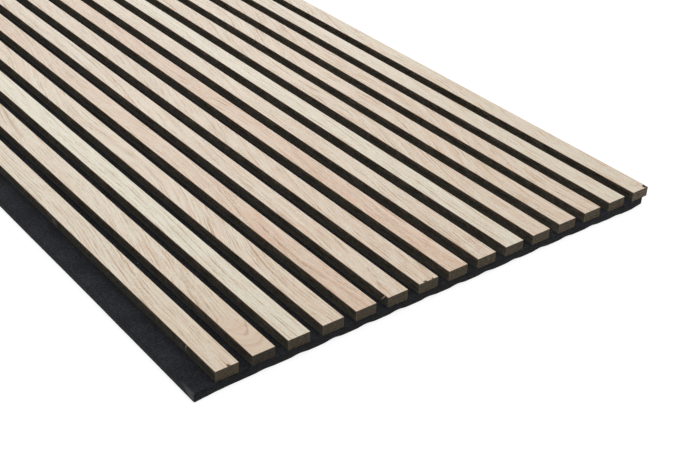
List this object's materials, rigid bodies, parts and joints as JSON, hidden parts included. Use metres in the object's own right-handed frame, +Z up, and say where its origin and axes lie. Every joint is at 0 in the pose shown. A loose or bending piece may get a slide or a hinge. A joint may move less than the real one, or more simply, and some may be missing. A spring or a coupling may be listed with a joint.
{
  "type": "acoustic slat wall panel",
  "caption": "Flat acoustic wall panel: straight veneered slats set side by side with gaps on a sheet of dense felt that absorbs sound, lying on its felt.",
  "frame": {"origin": "the middle of the panel's box on the plane that its felt lies on", "axes": "X across the slats, from the felt tongue to the overhanging slat; Y along the slats; Z up out of the veneered faces"},
  "size_m": [0.609, 2.4, 0.021],
  "materials": {
    "felt": "dense charcoal needled polyester felt, matt and slightly fuzzy",
    "dyed_core": "dark brown through-dyed fibreboard, sawn ends, blackened sides",
    "oak_veneer": "pale white-oiled oak veneer, matt, fine straight grain with some cathedral figure",
    "staple_wire": "galvanised flat staple wire"
  },
  "bodies": {
    "root": {"felt_backing": "felt", "slat_01_core": "dyed_core", "slat_01_veneer": "oak_veneer", "slat_02_core": "dyed_core", "slat_02_veneer": "oak_veneer", "slat_03_core": "dyed_core", "slat_03_veneer": "oak_veneer", "slat_04_core": "dyed_core", "slat_04_veneer": "oak_veneer", "slat_05_core": "dyed_core", "slat_05_veneer": "oak_veneer", "slat_06_core": "dyed_core", "slat_06_veneer": "oak_veneer", "slat_07_core": "dyed_core", "slat_07_veneer": "oak_veneer", "slat_08_core": "dyed_core", "slat_08_veneer": "oak_veneer", "slat_09_core": "dyed_core", "slat_09_veneer": "oak_veneer", "slat_10_core": "dyed_core", "slat_10_veneer": "oak_veneer", "slat_11_core": "dyed_core", "slat_11_veneer": "oak_veneer", "slat_12_core": "dyed_core", "slat_12_veneer": "oak_veneer", "slat_13_core": "dyed_core", "slat_13_veneer": "oak_veneer", "slat_14_core": "dyed_core", "slat_14_veneer": "oak_veneer", "slat_15_core": "dyed_core", "slat_15_veneer": "oak_veneer", "back_staples": "staple_wire"}
  },
  "joints": []
}
